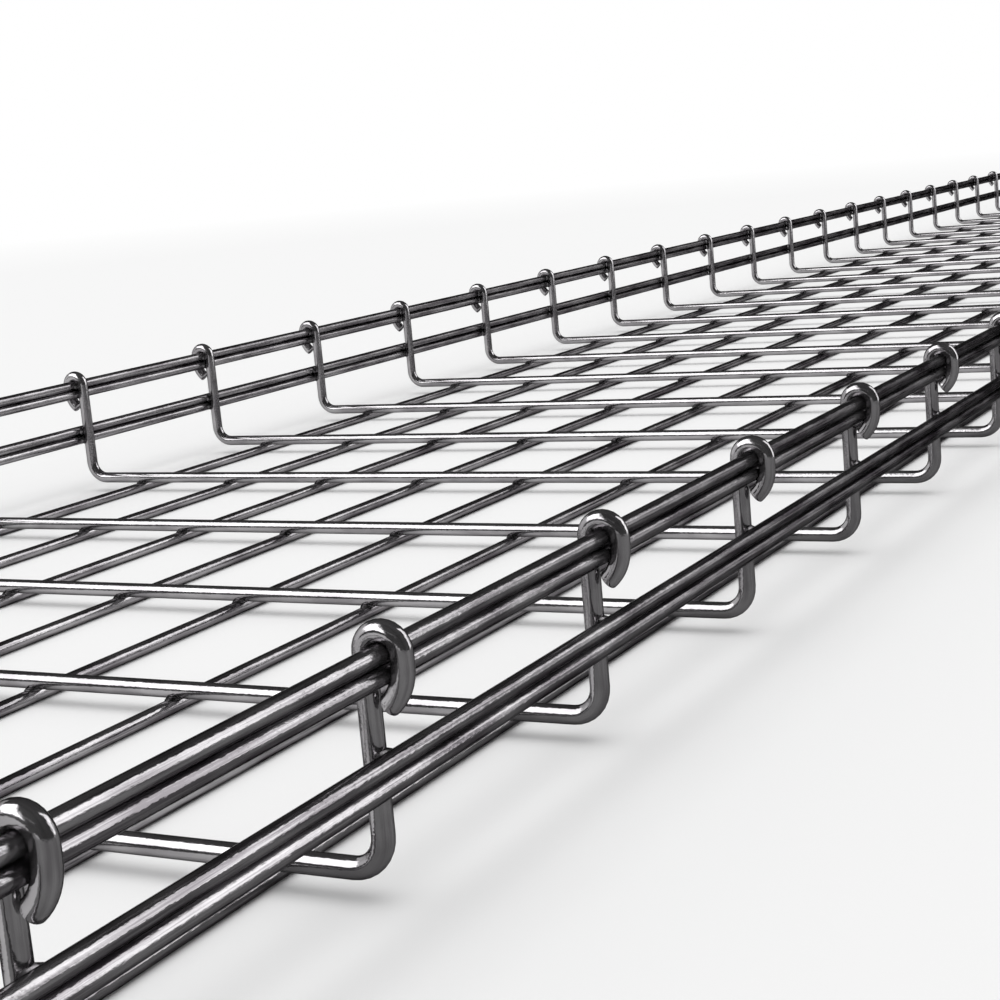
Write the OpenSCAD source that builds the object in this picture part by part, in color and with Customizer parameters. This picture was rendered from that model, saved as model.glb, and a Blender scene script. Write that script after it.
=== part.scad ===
// Wire mesh cable basket: one straight length of electro-welded cable tray.
// U-bent cross wires carry straight wires along the floor and pairs of straight
// wires along both sides, and hook over the top pair at each end.
// Millimetres. X runs across the tray, Y along it and Z up from the surface
// that the floor wires rest on; the origin is midway along and across.

/* [Tray] */
// Length of the straight wires
tray_len = 3000; // [500:100:3000]
// Width between the centre lines of the two rows of legs
tray_w = 400; // [150:50:600]
// Clear depth, from the top of the floor's cross wires to the top of the hooks
tray_depth = 48; // [44:1:110]

/* [Wire] */
// Diameter of the cross wires
cross_d = 4.8; // [4:0.1:6]
// Diameter of the straight wires
long_d = 4.2; // [3.5:0.1:6]
// How deep two wires are pressed into each other where they are welded
weld_sink = 0.4; // [0.2:0.1:0.8]

/* [Mesh] */
// Distance from one cross wire to the next
cross_pitch = 100; // [100:10:250]
// Distance from one floor wire to the next
floor_pitch = 49; // [40:1:100]
// Least distance from the outermost floor wire to the legs
floor_edge = 20; // [20:1:40]
// Height of the lower pair of side wires above the floor's cross wires
side_rise = 20.5; // [19:0.5:24]

/* [Bends] */
// Inside radius of the bend between floor and leg
bend_in_r = 5; // [3:0.5:8]
// Height above the lower top wire at which the hook's end starts to curl in
hook_nip = 1.6; // [0:0.2:2]
// Centre-line radius of that curl
hook_curl_r = 10; // [8:0.5:12]
// Angle through which that curl turns in under the top pair
hook_curl = 52; // [10:1:56]

/* [Hidden] */
$fn = 48;

// Centre lines
bend_r = bend_in_r + cross_d / 2;
weld_gap = (cross_d + long_d) / 2 - weld_sink;
floor_z = long_d / 2;
cross_z = floor_z + weld_gap;
leg_x = tray_w / 2;
rail_x = leg_x + weld_gap;

// The hook turns about the upper wire of the top pair
hook_r = weld_gap;
top_upper_z = cross_z + tray_depth - hook_r;
top_lower_z = top_upper_z - long_d;
hook_curl_z = top_lower_z + hook_nip;
side_upper_z = cross_z + side_rise + long_d / 2;
side_lower_z = side_upper_z - long_d;

// Counts and the places of the first wire of each row
cross_n = floor(tray_len / cross_pitch);
cross_y0 = -cross_pitch * (cross_n - 1) / 2;
floor_n = floor((tray_w - 2 * floor_edge) / floor_pitch) + 1;
floor_x0 = -floor_pitch * (floor_n - 1) / 2;

SIDES = ["left", "right"];
function sign_of(side) = side == "left" ? -1 : 1;
function two_digits(k) = str(k < 10 ? "0" : "", k);
function cross_name(k) = str("cross_wire_", two_digits(k));
function floor_name(k) = str("floor_wire_", k);

// Height of each straight side wire, by name
RAILS = [
    ["top_rail_upper", top_upper_z],
    ["top_rail_lower", top_lower_z],
    ["side_rail_upper", side_upper_z],
    ["side_rail_lower", side_lower_z]
];

// Straight round bar from the origin along +Z
module bar(d, len) {
    cylinder(d = d, h = len);
}

// Round bar bent to radius r through the angle a, in the XZ plane: it starts at
// [r, 0, 0], heading along +Z, and turns about the origin
module bent_bar(d, r, a) {
    rotate([90, 0, 0])
        rotate_extrude(angle = a)
            translate([r, 0])
                circle(d = d);
}

// Straight wire along Y at one place in the section
module long_wire(x, z) {
    color("gainsboro")
        translate([x, -tray_len / 2, z])
            rotate([-90, 0, 0])
                bar(long_d, tray_len);
}

// Hook at the top of the right leg: over the upper wire, down past it, and
// curled in tight under the lower one to a square-cut end beside the leg
module hook() {
    translate([rail_x, 0, top_upper_z])
        bent_bar(cross_d, hook_r, 180);
    translate([rail_x + hook_r, 0, hook_curl_z])
        bar(cross_d, top_upper_z - hook_curl_z);
    translate([rail_x + hook_r - hook_curl_r, 0, hook_curl_z])
        mirror([0, 0, 1])
            bent_bar(cross_d, hook_curl_r, hook_curl);
}

// Right half of a cross wire: half of the floor bar, bend, leg and hook
module half_cross_wire() {
    translate([0, 0, cross_z])
        rotate([0, 90, 0])
            bar(cross_d, leg_x - bend_r);
    translate([leg_x - bend_r, 0, cross_z + bend_r])
        rotate([0, 90, 0])
            bent_bar(cross_d, bend_r, 90);
    translate([leg_x, 0, cross_z + bend_r])
        bar(cross_d, top_upper_z - cross_z - bend_r);
    hook();
}

module cross_wire(k) {
    color("silver")
        translate([0, cross_y0 + (k - 1) * cross_pitch, 0]) {
            half_cross_wire();
            mirror([1, 0, 0]) half_cross_wire();
        }
}

module side_rail(rail, side) {
    long_wire(sign_of(side) * rail_x, rail[1]);
}

module floor_wire(k) {
    long_wire(floor_x0 + (k - 1) * floor_pitch, floor_z);
}

for (rail = RAILS, side = SIDES)
    side_rail(rail, side);
for (k = [1:floor_n])
    floor_wire(k);
for (k = [1:cross_n])
    cross_wire(k);
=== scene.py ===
"""Looks of a wire mesh cable basket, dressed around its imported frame.

The basket is one straight length of welded mesh: bright drawn wires lie along the
floor and in pairs along both sides, and U-bent cross wires hook over the top pair.
Lengths are in metres, +Y runs along the basket and +Z up out of its open top.
"""

import logging
import math
from dataclasses import dataclass, field
from enum import Enum

import bpy
from mathutils import Euler, Matrix, Vector


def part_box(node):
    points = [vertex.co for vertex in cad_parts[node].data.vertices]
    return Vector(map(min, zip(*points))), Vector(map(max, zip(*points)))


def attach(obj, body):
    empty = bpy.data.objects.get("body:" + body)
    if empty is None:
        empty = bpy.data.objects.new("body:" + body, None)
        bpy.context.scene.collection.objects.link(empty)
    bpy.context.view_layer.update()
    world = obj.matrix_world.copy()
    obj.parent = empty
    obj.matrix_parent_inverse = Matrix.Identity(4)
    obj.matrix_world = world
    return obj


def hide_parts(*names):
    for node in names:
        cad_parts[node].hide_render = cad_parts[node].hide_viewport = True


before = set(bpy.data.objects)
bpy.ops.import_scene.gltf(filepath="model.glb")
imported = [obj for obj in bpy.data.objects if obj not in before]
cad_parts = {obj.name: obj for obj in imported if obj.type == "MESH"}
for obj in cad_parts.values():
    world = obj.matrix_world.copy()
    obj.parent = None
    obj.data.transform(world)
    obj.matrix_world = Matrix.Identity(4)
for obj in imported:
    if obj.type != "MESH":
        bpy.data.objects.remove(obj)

LOG = logging.getLogger("basket")
MM = 0.001
BODY = "root"
BLACK_CARD = 0.06  # grey of a black card


class Side(Enum):
    """The two sides of the basket, with the sign of their X."""

    LEFT = -1
    RIGHT = 1


class Rail(Enum):
    """The straight wires of one side, named as their frame nodes start."""

    TOP_UPPER = "top_rail_upper"
    TOP_LOWER = "top_rail_lower"
    SIDE_UPPER = "side_rail_upper"
    SIDE_LOWER = "side_rail_lower"

    def node(self, side: Side) -> str:
        """Name of this wire's frame node on one side."""
        return f"{self.value}_{side.name.lower()}"


class Slot(Enum):
    """Names for material slots, which this script does not give to any piece."""

    SIDE_WIRE = "side_wire"
    FLOOR_WIRE = "floor_wire"
    CROSS_WIRE = "cross_wire"


# --------------------------------------------------------------------------
# Finishes
# --------------------------------------------------------------------------


@dataclass(frozen=True)
class Noise:
    """One layer of surface noise, read in object coordinates.

    Attributes:
        cell: Size of a feature along X, Y and Z, in metres.
        detail: Octaves of the noise.
    """

    cell: tuple[float, float, float]
    detail: float = 2.0

    def build(self, tree: bpy.types.NodeTree, coords: bpy.types.NodeSocket) -> bpy.types.NodeSocket:
        """Adds the layer to a material.

        Args:
            tree: The material's nodes.
            coords: Object coordinates.

        Returns:
            The layer's value, from 0 to 1.
        """
        mapping = tree.nodes.new("ShaderNodeMapping")
        mapping.inputs["Scale"].default_value = [1 / c for c in self.cell]
        noise = tree.nodes.new("ShaderNodeTexNoise")
        noise.inputs["Scale"].default_value = 1.0
        noise.inputs["Detail"].default_value = self.detail
        tree.links.new(coords, mapping.inputs["Vector"])
        tree.links.new(mapping.outputs["Vector"], noise.inputs["Vector"])
        return noise.outputs["Fac"]


@dataclass(frozen=True)
class WireFinish:
    """Bright steel wire: its tone, its gloss and the marks left on its skin.

    Attributes:
        name: Name of the material.
        dark: Colour in the duller patches.
        light: Colour in the brighter patches.
        edge: Tint at grazing angles.
        gloss: Roughness from its smoothest to its roughest patches.
        patches: Slow change of tone and gloss.
        chatter: Fine marks across the wire.
        chatter_height: Depth of those marks.
        streaks: Drawing lines along the wire.
        streak_height: Depth of those lines.
        streak_share: Share of those lines in the change of tone.
        tone_span: Values of the noise between which the tone goes from dark to light.
        gloss_span: Values of the noise between which the roughness changes.
        metal: How far the skin is bare metal, the rest being a thin film of oxide and oil.
    """

    name: str
    dark: tuple[float, float, float]
    light: tuple[float, float, float]
    edge: tuple[float, float, float]
    gloss: tuple[float, float]
    patches: Noise
    chatter: Noise
    chatter_height: float
    streaks: Noise
    streak_height: float
    streak_share: float = 0.5
    tone_span: tuple[float, float] = (0.40, 0.60)
    gloss_span: tuple[float, float] = (0.3, 0.7)
    metal: float = 0.95

    def build(self) -> bpy.types.Material:
        """Makes the material.

        Returns:
            A metallic material with procedural tone, gloss and relief.
        """
        material = bpy.data.materials.new(self.name)
        material.use_nodes = True
        tree = material.node_tree
        shader = tree.nodes["Principled BSDF"]
        shader.inputs["Metallic"].default_value = self.metal
        shader.inputs["Specular Tint"].default_value = (*self.edge, 1.0)
        coords = tree.nodes.new("ShaderNodeTexCoord").outputs["Object"]

        patches = self.patches.build(tree, coords)
        streaks = self.streaks.build(tree, coords)
        grain = tree.nodes.new("ShaderNodeMix")
        grain.inputs["Factor"].default_value = self.streak_share
        tree.links.new(patches, grain.inputs["A"])
        tree.links.new(streaks, grain.inputs["B"])
        tone = tree.nodes.new("ShaderNodeValToRGB")
        stops = zip(tone.color_ramp.elements, self.tone_span, (self.dark, self.light))
        for stop, position, colour in stops:
            stop.position = position
            stop.color = (*colour, 1.0)
        tree.links.new(grain.outputs["Result"], tone.inputs["Fac"])
        tree.links.new(tone.outputs["Color"], shader.inputs["Base Color"])

        gloss = tree.nodes.new("ShaderNodeMapRange")
        for end, (low, high) in (("From", self.gloss_span), ("To", self.gloss)):
            gloss.inputs[f"{end} Min"].default_value = low
            gloss.inputs[f"{end} Max"].default_value = high
        tree.links.new(patches, gloss.inputs["Value"])
        tree.links.new(gloss.outputs["Result"], shader.inputs["Roughness"])

        normal = self._relief(tree, streaks, self.streak_height, None)
        normal = self._relief(tree, self.chatter.build(tree, coords), self.chatter_height, normal)
        tree.links.new(normal, shader.inputs["Normal"])
        return material

    @staticmethod
    def _relief(
        tree: bpy.types.NodeTree,
        height: bpy.types.NodeSocket,
        depth: float,
        under: bpy.types.NodeSocket | None,
    ) -> bpy.types.NodeSocket:
        """Adds one layer of relief over another.

        Args:
            tree: The material's nodes.
            height: Height of the relief, from 0 to 1.
            depth: What a height of 1 stands for, in metres.
            under: Normal of the layer beneath, if there is one.

        Returns:
            The normal of both layers together.
        """
        bump = tree.nodes.new("ShaderNodeBump")
        bump.inputs["Strength"].default_value = 1.0
        bump.inputs["Distance"].default_value = depth
        tree.links.new(height, bump.inputs["Height"])
        if under is not None:
            tree.links.new(under, bump.inputs["Normal"])
        return bump.outputs["Normal"]


DRAWN_WIRE = WireFinish(
    name="drawn_wire",
    dark=(0.16, 0.15, 0.16),
    light=(0.38, 0.37, 0.38),
    edge=(0.12, 0.12, 0.12),
    gloss=(0.10, 0.22),
    patches=Noise(cell=(0.004, 0.025, 0.004)),
    chatter=Noise(cell=(0.0008, 0.0022, 0.0008)),
    chatter_height=0.00007,
    streaks=Noise(cell=(0.0004, 0.030, 0.0004)),
    streak_height=0.00002,
)
SMOOTH_WIRE = WireFinish(
    name="smooth_wire",
    dark=(0.27, 0.26, 0.27),
    light=(0.42, 0.41, 0.42),
    edge=(0.12, 0.12, 0.12),
    gloss=(0.08, 0.17),
    patches=Noise(cell=(0.014, 0.004, 0.010)),
    chatter=Noise(cell=(0.0012, 0.0007, 0.0009)),
    chatter_height=0.00004,
    streaks=Noise(cell=(0.020, 0.0005, 0.020)),
    streak_height=0.00001,
)
WELD = WireFinish(
    name="weld_flash",
    dark=(0.06, 0.06, 0.06),
    light=(0.24, 0.23, 0.24),
    edge=(0.10, 0.10, 0.10),
    gloss=(0.18, 0.36),
    patches=Noise(cell=(0.0016, 0.0016, 0.0016)),
    chatter=Noise(cell=(0.0008, 0.0008, 0.0008)),
    chatter_height=0.00002,
    streaks=Noise(cell=(0.002, 0.002, 0.002)),
    streak_height=0.00003,
)


# --------------------------------------------------------------------------
# Modelling
# --------------------------------------------------------------------------


class Bench:
    """Steps that the wires and the welds are made with.

    Attributes:
        MERGE: Distance under which two vertices are one.
        SEAM: Distance within which the halves of a mirrored wire are joined.
        SMOOTH_ANGLE: Edges sharper than this stay sharp.
        EDGE_STEPS: Faces across a rounded edge.
    """

    MERGE = 1e-6
    SEAM = 1e-5
    SMOOTH_ANGLE = math.radians(40)
    EDGE_STEPS = 2

    @staticmethod
    def clear() -> None:
        """Leaves nothing selected and nothing active."""
        if bpy.context.object and bpy.context.object.mode != "OBJECT":
            bpy.ops.object.mode_set(mode="OBJECT")
        bpy.ops.object.select_all(action="DESELECT")
        bpy.context.view_layer.objects.active = None

    @classmethod
    def ring(
        cls,
        name: str,
        centre: Vector,
        turn: tuple[float, float, float],
        radius: float,
        sides: int,
    ) -> bpy.types.Object:
        """Adds an open ring of edges and goes into edit mode with it selected.

        Args:
            name: Name of the new object.
            centre: Centre of the ring.
            turn: Euler angles that turn the ring's axis from Z.
            radius: Radius of the ring.
            sides: Number of its edges.

        Returns:
            The new object.
        """
        cls.clear()
        bpy.ops.mesh.primitive_circle_add(
            vertices=sides, radius=radius, fill_type="NOTHING", location=centre, rotation=turn
        )
        ring = bpy.context.object
        ring.name = ring.data.name = name
        bpy.ops.object.transform_apply(location=True, rotation=True, scale=True)
        bpy.ops.object.mode_set(mode="EDIT")
        bpy.ops.mesh.select_all(action="SELECT")
        return ring

    @staticmethod
    def pull(step: Vector, times: int = 1) -> None:
        """Extrudes the selected ring along a straight line.

        Args:
            step: Move of each extrusion.
            times: Number of extrusions.
        """
        for _ in range(times):
            bpy.ops.mesh.extrude_region_move(TRANSFORM_OT_translate={"value": step})

    @staticmethod
    def sweep(centre: Vector, angle: float, steps: int) -> None:
        """Spins the selected ring in the XZ plane, anticlockwise as seen from -Y.

        Args:
            centre: Centre of the bend.
            angle: Angle of the bend, negative for clockwise.
            steps: Number of rings that it takes.
        """
        axis = (0, math.copysign(1, angle), 0)
        bpy.ops.mesh.spin(steps=steps, angle=abs(angle), center=centre, axis=axis)

    @classmethod
    def cap(cls, bevel: float) -> None:
        """Closes the selected ring and rounds its edge as a shear leaves it.

        Args:
            bevel: Width of the rounded edge.
        """
        bpy.ops.mesh.edge_face_add()
        bpy.ops.mesh.bevel(offset=bevel, segments=cls.EDGE_STEPS, affect="EDGES")

    @staticmethod
    def select_end(wire: bpy.types.Object, toward: Vector) -> None:
        """Selects the open edges at one end of the active wire, and leaves it in edit mode.

        Args:
            wire: The wire.
            toward: Direction from the wire's middle to that end.
        """
        bpy.ops.object.mode_set(mode="EDIT")
        bpy.ops.mesh.select_mode(type="EDGE")
        bpy.ops.mesh.select_all(action="DESELECT")
        bpy.ops.mesh.select_non_manifold(extend=False)
        bpy.ops.object.mode_set(mode="OBJECT")
        for edge in [e for e in wire.data.edges if e.select]:
            edge.select = wire.data.vertices[edge.vertices[0]].co.dot(toward) > 0
        bpy.ops.object.mode_set(mode="EDIT")

    @classmethod
    def close(cls, smooth_angle: float = SMOOTH_ANGLE) -> None:
        """Merges doubles, turns faces outwards and shades the mesh smooth.

        Args:
            smooth_angle: Edges sharper than this stay sharp.
        """
        bpy.ops.mesh.select_all(action="SELECT")
        bpy.ops.mesh.remove_doubles(threshold=cls.MERGE)
        bpy.ops.mesh.normals_make_consistent(inside=False)
        bpy.ops.object.mode_set(mode="OBJECT")
        bpy.ops.object.shade_smooth_by_angle(angle=smooth_angle)

    @staticmethod
    def copy(model: bpy.types.Object, name: str, place: Matrix) -> bpy.types.Object:
        """Copies a finished piece, with its own mesh.

        Args:
            model: The piece to copy.
            name: Name of the copy.
            place: Transform from the model to the copy, put into its mesh.

        Returns:
            The copy.
        """
        piece = model.copy()
        piece.data = model.data.copy()
        piece.name = piece.data.name = name
        piece.data.transform(place)
        bpy.context.scene.collection.objects.link(piece)
        return piece

    @staticmethod
    def apply(piece: bpy.types.Object, modifier: bpy.types.Modifier) -> None:
        """Applies one modifier.

        Args:
            piece: The piece that has it.
            modifier: The modifier.
        """
        bpy.context.view_layer.objects.active = piece
        piece.select_set(True)
        bpy.ops.object.modifier_apply(modifier=modifier.name)


def middle(node: str) -> Vector:
    """Centre of a frame node's box."""
    low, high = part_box(node)
    return (low + high) / 2


def dress(piece: bpy.types.Object, material: bpy.types.Material) -> None:
    """Gives a finished piece its material and its body.

    Args:
        piece: The piece.
        material: Its finish.
    """
    piece.data.materials.clear()
    piece.data.materials.append(material)
    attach(piece, BODY)


@dataclass
class StraightWire:
    """A drawn wire along the whole basket, modelled once at the origin.

    Attributes:
        diameter: Diameter of the wire.
        length: Its length.
        sides: Faces around it.
        runs: Stretches that its length is divided into.
        end_bevel: Rounding of its sheared ends.
    """

    diameter: float = 4.2 * MM
    length: float = 3.0
    sides: int = 32
    runs: int = 60
    end_bevel: float = 0.25 * MM

    def model(self) -> bpy.types.Object:
        """Makes the wire with its middle at the origin.

        Returns:
            The finished mesh object.
        """
        start = Vector((0, -self.length / 2, 0))
        wire = Bench.ring("straight_wire", start, (math.pi / 2, 0, 0), self.diameter / 2, self.sides)
        Bench.pull(Vector((0, self.length / self.runs, 0)), self.runs)
        for toward in (-1, 1):
            Bench.select_end(wire, Vector((0, toward, 0)))
            Bench.cap(self.end_bevel)
        Bench.close()
        return wire


@dataclass
class CrossWire:
    """A U-bent cross wire with a hook at each end, modelled once at Y = 0.

    Attributes:
        diameter: Diameter of the wire.
        rail_diameter: Diameter of the straight wires that it hooks over.
        bend_inside: Inside radius of the bend between floor and leg.
        weld_sink: How deep it is pressed into the wires that it is welded to.
        nip: Height above the lower top wire at which the hook's end starts to curl in.
        curl_radius: Centre-line radius of that curl.
        curl: Angle of that curl.
        sides: Faces around it.
        hook_rings: Rings round the half turn over the rail.
        bend_rings: Rings round a bend or curl.
        leg_runs: Stretches that its leg is divided into.
        floor_runs: Stretches that half of its floor run is divided into.
        end_bevel: Rounding of its sheared ends.
    """

    diameter: float = 4.8 * MM
    rail_diameter: float = 4.2 * MM
    bend_inside: float = 5.0 * MM
    weld_sink: float = 0.4 * MM
    nip: float = 1.6 * MM
    curl_radius: float = 10.0 * MM
    curl: float = math.radians(52)
    sides: int = 28
    hook_rings: int = 14
    bend_rings: int = 8
    leg_runs: int = 2
    floor_runs: int = 4
    end_bevel: float = 0.3 * MM

    def model(self) -> bpy.types.Object:
        """Makes the wire from the cut end of its right hook to its middle, and mirrors it.

        Returns:
            The finished mesh object, at Y = 0.
        """
        bend = self.bend_inside + self.diameter / 2
        hook = (self.diameter + self.rail_diameter) / 2 - self.weld_sink
        upper = middle(Rail.TOP_UPPER.node(Side.RIGHT))
        lower = middle(Rail.TOP_LOWER.node(Side.RIGHT))
        floor_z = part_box("cross_wire_01")[0].z + self.diameter / 2
        leg_x = upper.x - hook
        outer_x = upper.x + hook

        curl_z = lower.z + self.nip
        curl_centre = Vector((outer_x - self.curl_radius, 0, curl_z))
        cut = curl_centre + self.curl_radius * Vector((math.cos(self.curl), 0, -math.sin(self.curl)))
        wire = Bench.ring("cross_wire", cut, (0, self.curl, 0), self.diameter / 2, self.sides)
        Bench.sweep(curl_centre, self.curl, self.bend_rings)
        Bench.pull(Vector((0, 0, upper.z - curl_z)))
        Bench.sweep(Vector((upper.x, 0, upper.z)), math.pi, self.hook_rings)
        Bench.pull(Vector((0, 0, (floor_z + bend - upper.z) / self.leg_runs)), self.leg_runs)
        Bench.sweep(Vector((leg_x - bend, 0, floor_z + bend)), -math.pi / 2, self.bend_rings)
        Bench.pull(Vector(((bend - leg_x) / self.floor_runs, 0, 0)), self.floor_runs)
        Bench.close()
        mirror = wire.modifiers.new("other_half", "MIRROR")
        mirror.merge_threshold = Bench.SEAM
        Bench.apply(wire, mirror)
        for side in Side:
            Bench.select_end(wire, Vector((side.value, 0, 0)))
            Bench.cap(self.end_bevel)
        Bench.close()
        return wire


@dataclass
class WeldRow:
    """The flash that the welds press out along one straight wire.

    Attributes:
        radius: Radius of one weld's flash across the contact.
        thickness: Its half thickness at the middle.
        stretch: How much longer it is along the straight wire.
        sides: Faces around it.
        rings: Faces from one pole to the other.
        rough: Unevenness, as a share of the radius.
        seed: Seed of its unevenness.
        smooth_angle: Edges sharper than this stay sharp.
    """

    radius: float = 2.2 * MM
    thickness: float = 1.0 * MM
    stretch: float = 1.8
    sides: int = 10
    rings: int = 6
    rough: float = 0.05
    seed: int = 3
    smooth_angle: float = math.radians(60)

    def model(self) -> bpy.types.Object:
        """Makes one weld's flash at the origin, flat in the XY plane.

        Returns:
            The finished mesh object.
        """
        Bench.clear()
        bpy.ops.mesh.primitive_uv_sphere_add(
            segments=self.sides, ring_count=self.rings, radius=self.radius
        )
        bead = bpy.context.object
        bead.name = bead.data.name = "weld"
        bpy.ops.object.mode_set(mode="EDIT")
        bpy.ops.mesh.select_all(action="SELECT")
        bpy.ops.transform.resize(value=(1, self.stretch, self.thickness / self.radius))
        bpy.ops.transform.vertex_random(offset=self.rough * self.radius, seed=self.seed)
        Bench.close(self.smooth_angle)
        return bead

    def row(
        self, bead: bpy.types.Object, name: str, place: Matrix, pitch: float, count: int
    ) -> bpy.types.Object:
        """Repeats the flash at each cross wire.

        Args:
            bead: One weld's flash.
            name: Name of the row.
            place: Transform of the first weld.
            pitch: Distance from one cross wire to the next.
            count: Number of cross wires.

        Returns:
            The row as one mesh.
        """
        welds = Bench.copy(bead, name, place)
        array = welds.modifiers.new("row", "ARRAY")
        array.use_relative_offset = False
        array.use_constant_offset = True
        array.constant_offset_displace = (0, pitch, 0)
        array.count = count
        Bench.clear()
        Bench.apply(welds, array)
        return welds


# --------------------------------------------------------------------------
# The basket
# --------------------------------------------------------------------------


@dataclass
class Basket:
    """The whole basket: straight wires, cross wires and the welds between them.

    Attributes:
        straight: The drawn wire that every straight wire is a copy of.
        cross: The bent wire that every cross wire is a copy of.
        welds: The weld flash along a straight wire.
    """

    straight: StraightWire = field(default_factory=StraightWire)
    cross: CrossWire = field(default_factory=CrossWire)
    welds: WeldRow = field(default_factory=WeldRow)

    def __post_init__(self) -> None:
        """Reads the rows of wires from the frame."""
        nodes = sorted(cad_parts)
        self.cross_nodes = [n for n in nodes if n.startswith("cross_wire_")]
        self.floor_nodes = [n for n in nodes if n.startswith("floor_wire_")]
        self.first_y = middle(self.cross_nodes[0]).y
        self.pitch = middle(self.cross_nodes[1]).y - self.first_y
        self.drawn = DRAWN_WIRE.build()
        self.smooth = SMOOTH_WIRE.build()
        self.flash = WELD.build()

    def build(self) -> None:
        """Builds every piece of the basket."""
        self.build_straight_wires()
        self.build_cross_wires()
        self.build_welds()

    def build_straight_wires(self) -> None:
        """Lays the drawn wires along the floor and both sides."""
        model = self.straight.model()
        rails = [rail.node(side) for rail in Rail for side in Side]
        for nodes, slot in ((rails, Slot.SIDE_WIRE), (self.floor_nodes, Slot.FLOOR_WIRE)):
            for node in nodes:
                wire = Bench.copy(model, f"drawn_{node}", Matrix.Translation(middle(node)))
                dress(wire, self.drawn)
                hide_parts(node)
        bpy.data.objects.remove(model)
        LOG.info("straight wires: %d", len(rails) + len(self.floor_nodes))

    def build_cross_wires(self) -> None:
        """Sets a cross wire on every node of the row."""
        model = self.cross.model()
        for node in self.cross_nodes:
            wire = Bench.copy(model, f"bent_{node}", Matrix.Translation((0, middle(node).y, 0)))
            dress(wire, self.smooth)
            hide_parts(node)
        bpy.data.objects.remove(model)
        LOG.info("cross wires: %d", len(self.cross_nodes))

    def build_welds(self) -> None:
        """Puts the weld flash between the cross wires and each straight wire."""
        bead = self.welds.model()
        contact = (self.straight.diameter - self.cross.weld_sink) / 2
        for node in self.floor_nodes:
            centre = middle(node)
            place = Matrix.Translation((centre.x, self.first_y, centre.z + contact))
            self._weld(bead, node, place)
        for side in Side:
            for rail in Rail:
                centre = middle(rail.node(side))
                place = Matrix.Translation((centre.x - side.value * contact, self.first_y, centre.z))
                turned = place @ Matrix.Rotation(math.pi / 2, 4, "Y")
                self._weld(bead, rail.node(side), turned)
        bpy.data.objects.remove(bead)
        LOG.info("weld rows: %d", len(self.floor_nodes) + len(Side) * len(Rail))

    def _weld(self, bead: bpy.types.Object, node: str, place: Matrix) -> None:
        """Makes and dresses one row of welds.

        Args:
            bead: One weld's flash.
            node: Frame node of the straight wire.
            place: Transform of the first weld.
        """
        row = self.welds.row(bead, f"welds_{node}", place, self.pitch, len(self.cross_nodes))
        dress(row, self.flash)


# --------------------------------------------------------------------------
# The studio
# --------------------------------------------------------------------------


@dataclass(frozen=True)
class View:
    """The camera's stand.

    Attributes:
        eye: Place of the lens.
        heading: Angle from +Y towards -X.
        dip: Angle below the horizon.
        roll: Turn about the line of sight.
        lens: Focal length on the sensor, in millimetres.
        sensor: Width of the sensor, in millimetres.
        clip: Nearest and farthest distance that it sees.
    """

    eye: tuple[float, float, float] = (0.3919, -1.6449, 0.1404)
    heading: float = math.radians(28.47)
    dip: float = math.radians(10.32)
    roll: float = math.radians(-5.22)
    lens: float = 69.04
    sensor: float = 36.0
    clip: tuple[float, float] = (0.01, 100.0)

    def build(self) -> None:
        """Sets up the scene's camera."""
        data = bpy.data.cameras.new("camera")
        data.lens, data.sensor_width = self.lens, self.sensor
        data.clip_start, data.clip_end = self.clip
        camera = bpy.data.objects.new("camera", data)
        look = Euler((math.pi / 2 - self.dip, 0, self.heading)).to_matrix().to_4x4()
        camera.matrix_world = Matrix.Translation(self.eye) @ look @ Matrix.Rotation(self.roll, 4, "Z")
        bpy.context.scene.collection.objects.link(camera)
        bpy.context.scene.camera = camera


@dataclass(frozen=True)
class Card:
    """Place and size of a flat card or panel of the set.

    Attributes:
        name: Name of the card.
        centre: Its middle.
        aim: The point that it faces.
        size: Its width and height.
    """

    name: str
    centre: tuple[float, float, float]
    aim: tuple[float, float, float]
    size: tuple[float, float]

    def place(self) -> Matrix:
        """Places the card and turns its -Z towards its aim.

        Returns:
            The card's transform.
        """
        away = Vector(self.aim) - Vector(self.centre)
        turn = away.to_track_quat("-Z", "Y").to_matrix().to_4x4()
        return Matrix.Translation(self.centre) @ turn


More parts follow.
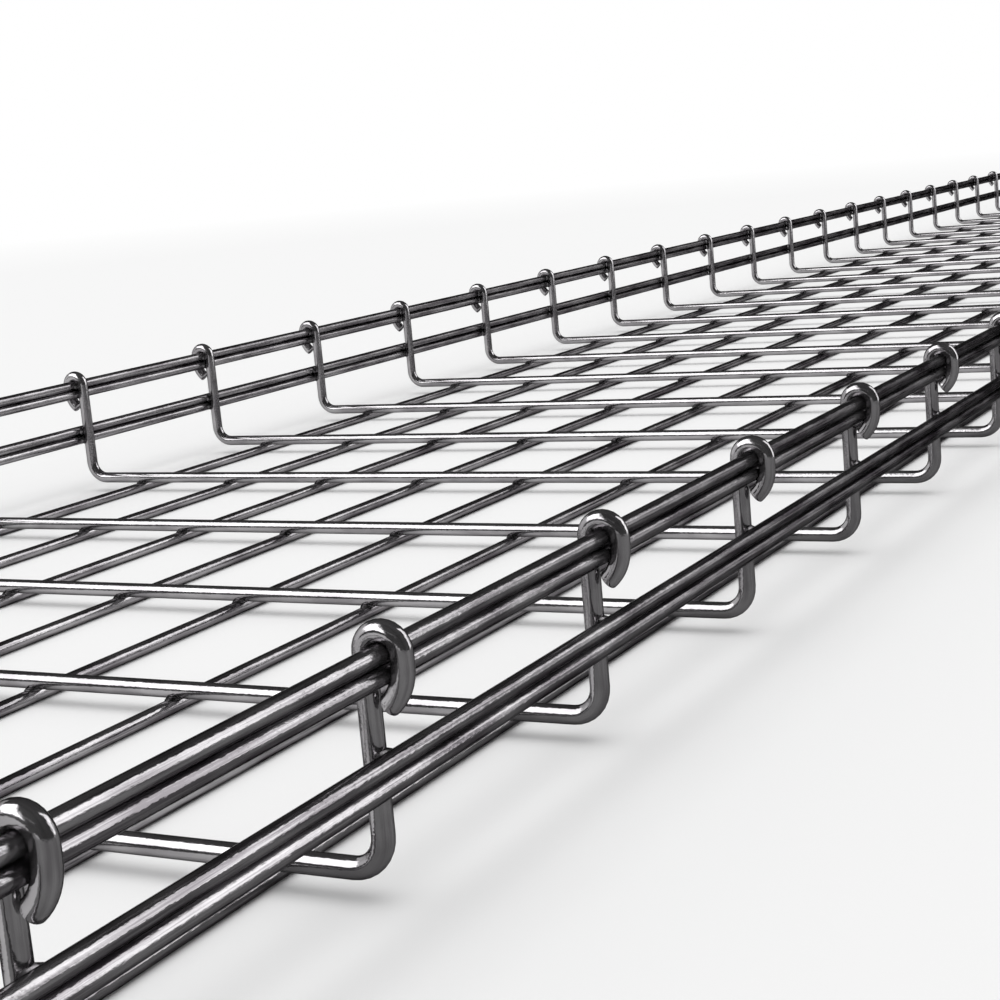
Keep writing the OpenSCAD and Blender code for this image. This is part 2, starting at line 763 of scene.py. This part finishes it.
@dataclass
class Studio:
    """Plain pale floor, white surroundings, soft panels, and black and grey cards.

    Attributes:
        floor_size: Width of the floor.
        floor_tone: Colour of the floor.
        fade: Distances between which the floor fades into the white surroundings.
        fill: Strength of the soft light from all around.
        overhead: Level that the soft light from above adds on a level surface.
        overhead_spread: Angle that this light comes from.
        panels: Soft light panels that only reflections show, with the radiance of each.
        cards: Cards that only reflections show, with the grey of each.
    """

    floor_size: float = 80.0
    floor_tone: float = 0.93
    fade: tuple[float, float] = (2.2, 4.5)
    fill: float = 0.62
    overhead: float = 0.38
    overhead_spread: float = math.radians(70)
    panels: tuple[tuple[Card, float], ...] = (
        (Card("side_panel", (1.5, 1.05, 1.9), (0.2, 1.05, 1.9), (2.3, 1.8)), 2.8),
        (Card("low_side_panel", (1.5, 0.15, 0.5), (0.2, 0.15, 0.5), (0.9, 1.0)), 1.8),
        (Card("strip_panel", (1.5, 3.6, 1.85), (0.2, 3.6, 1.85), (2.8, 0.7)), 1.5),
        (Card("back_panel", (-2.7, -3.8, 2.3), (-2.7, -3.315, 0.36), (3.6, 4.5)), 2.8),
    )
    cards: tuple[tuple[Card, float], ...] = (
        (Card("far_card", (-3.0, 9.0, 4.0), (-3.0, 0.0, 4.0), (14.0, 8.0)), BLACK_CARD),
        (Card("roof_card", (-0.25, 3.7, 2.85), (-0.25, 3.7, 0.0), (7.5, 10.6)), BLACK_CARD),
        (Card("near_roof_card", (1.4, -3.4, 2.85), (1.4, -3.4, 0.0), (4.2, 3.6)), BLACK_CARD),
        (Card("left_card", (-4.0, 5.0, 1.5), (0.0, 5.0, 1.5), (8.0, 3.0)), BLACK_CARD),
        (Card("near_side_card", (2.6, -2.8, 1.4), (0.0, -2.8, 1.4), (6.2, 2.8)), BLACK_CARD),
        (Card("rear_card", (1.7, -5.3, 1.5), (1.7, 0.0, 1.5), (4.6, 2.6)), BLACK_CARD),
        (Card("far_side_card", (1.55, 5.6, 1.625), (0.0, 5.6, 1.625), (6.8, 2.35)), 0.60),
        (Card("low_card", (-3.0, -6.3, 0.8), (-3.0, 0.0, 0.8), (7.0, 1.6)), BLACK_CARD),
        (Card("floor_card", (1.195, 0.0, 0.0008), (1.195, 0.0, 1.0), (2.05, 8.0)), 0.30),
    )

    def build(self) -> None:
        """Builds the whole set."""
        self.build_floor()
        self.build_surroundings()
        self.build_overhead()
        for card, radiance in self.panels:
            self.build_panel(card, radiance)
        for card, tone in self.cards:
            self.build_card(card, tone)

    def build_floor(self) -> None:
        """Lays the pale floor that the basket rests on."""
        floor = self._plane("studio_floor", Matrix.Identity(4), (self.floor_size, self.floor_size))
        material = self._matt("pale_floor", self.floor_tone)
        tree = material.node_tree
        coords = tree.nodes.new("ShaderNodeTexCoord").outputs["Object"]
        length = tree.nodes.new("ShaderNodeVectorMath")
        length.operation = "LENGTH"
        tree.links.new(coords, length.inputs[0])
        fade = tree.nodes.new("ShaderNodeMapRange")
        fade.inputs["From Min"].default_value = self.fade[0] / self.floor_size
        fade.inputs["From Max"].default_value = self.fade[1] / self.floor_size
        tree.links.new(length.outputs["Value"], fade.inputs["Value"])
        white = tree.nodes.new("ShaderNodeEmission")
        mix = tree.nodes.new("ShaderNodeMixShader")
        tree.links.new(fade.outputs["Result"], mix.inputs["Fac"])
        tree.links.new(tree.nodes["Principled BSDF"].outputs["BSDF"], mix.inputs[1])
        tree.links.new(white.outputs["Emission"], mix.inputs[2])
        tree.links.new(mix.outputs["Shader"], tree.nodes["Material Output"].inputs["Surface"])
        floor.data.materials.append(material)

    def build_surroundings(self) -> None:
        """Sets white surroundings, with a plain soft light for matt surfaces."""
        world = bpy.data.worlds.new("surroundings")
        world.use_nodes = True
        tree = world.node_tree
        backdrop = tree.nodes["Background"]
        backdrop.inputs["Color"].default_value = (1, 1, 1, 1)
        paths = tree.nodes.new("ShaderNodeLightPath")
        seen = paths.outputs["Is Camera Ray"]
        for ray in ("Is Glossy Ray", "Is Transmission Ray"):
            either = tree.nodes.new("ShaderNodeMath")
            either.operation = "MAXIMUM"
            tree.links.new(seen, either.inputs[0])
            tree.links.new(paths.outputs[ray], either.inputs[1])
            seen = either.outputs["Value"]
        strength = tree.nodes.new("ShaderNodeMapRange")
        strength.inputs["To Min"].default_value = self.fill
        strength.inputs["To Max"].default_value = 1.0
        tree.links.new(seen, strength.inputs["Value"])
        tree.links.new(strength.outputs["Result"], backdrop.inputs["Strength"])
        bpy.context.scene.world = world

    def build_overhead(self) -> None:
        """Adds the even, soft light from above, which reflections don't show."""
        data = bpy.data.lights.new("overhead", "SUN")
        data.angle = self.overhead_spread
        data.energy = self.overhead * math.pi
        lamp = bpy.data.objects.new("overhead", data)
        lamp.visible_glossy = False
        bpy.context.scene.collection.objects.link(lamp)

    def build_panel(self, card: Card, radiance: float) -> None:
        """Hangs one soft panel, which only reflections show.

        Args:
            card: Its place and size.
            radiance: Brightness of its face, where 1 is white.
        """
        data = bpy.data.lights.new(card.name, "AREA")
        data.shape = "RECTANGLE"
        data.size, data.size_y = card.size
        data.energy = radiance * math.pi * card.size[0] * card.size[1]
        lamp = bpy.data.objects.new(card.name, data)
        lamp.matrix_world = card.place()
        lamp.visible_camera = False
        lamp.visible_diffuse = False
        bpy.context.scene.collection.objects.link(lamp)

    def build_card(self, card: Card, tone: float) -> None:
        """Sets up one card, which only reflections show.

        Args:
            card: Its place and size.
            tone: Its grey.
        """
        sheet = self._plane(card.name, card.place(), card.size)
        sheet.data.materials.append(self._matt(card.name, tone))
        sheet.visible_camera = False
        sheet.visible_diffuse = False
        sheet.visible_shadow = False

    @staticmethod
    def _matt(name: str, tone: float) -> bpy.types.Material:
        """A plain matt grey material.

        Args:
            name: Name of the material.
            tone: Its grey, from 0 to 1.

        Returns:
            The material.
        """
        material = bpy.data.materials.new(name)
        material.use_nodes = True
        shader = material.node_tree.nodes["Principled BSDF"]
        shader.inputs["Base Color"].default_value = (tone, tone, tone, 1.0)
        shader.inputs["Roughness"].default_value = 1.0
        shader.inputs["Specular IOR Level"].default_value = 0.0
        return material

    @staticmethod
    def _plane(name: str, place: Matrix, size: tuple[float, float]) -> bpy.types.Object:
        """Adds a rectangle to the set.

        Args:
            name: Name of the object.
            place: Its place and direction.
            size: Its width and height.

        Returns:
            The object, marked as part of the stage.
        """
        Bench.clear()
        bpy.ops.mesh.primitive_plane_add(size=1.0)
        sheet = bpy.context.object
        sheet.name = sheet.data.name = name
        sheet.matrix_world = place @ Matrix.Diagonal((*size, 1.0, 1.0))
        return sheet


def main() -> None:
    """Builds the basket and its studio, and reports each step."""
    logging.basicConfig(level=logging.INFO, format="%(name)s: %(message)s")
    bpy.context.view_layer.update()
    bpy.context.scene.view_settings.view_transform = "Standard"
    View().build()
    Studio().build()
    Basket().build()


if __name__ == "__main__":
    main()
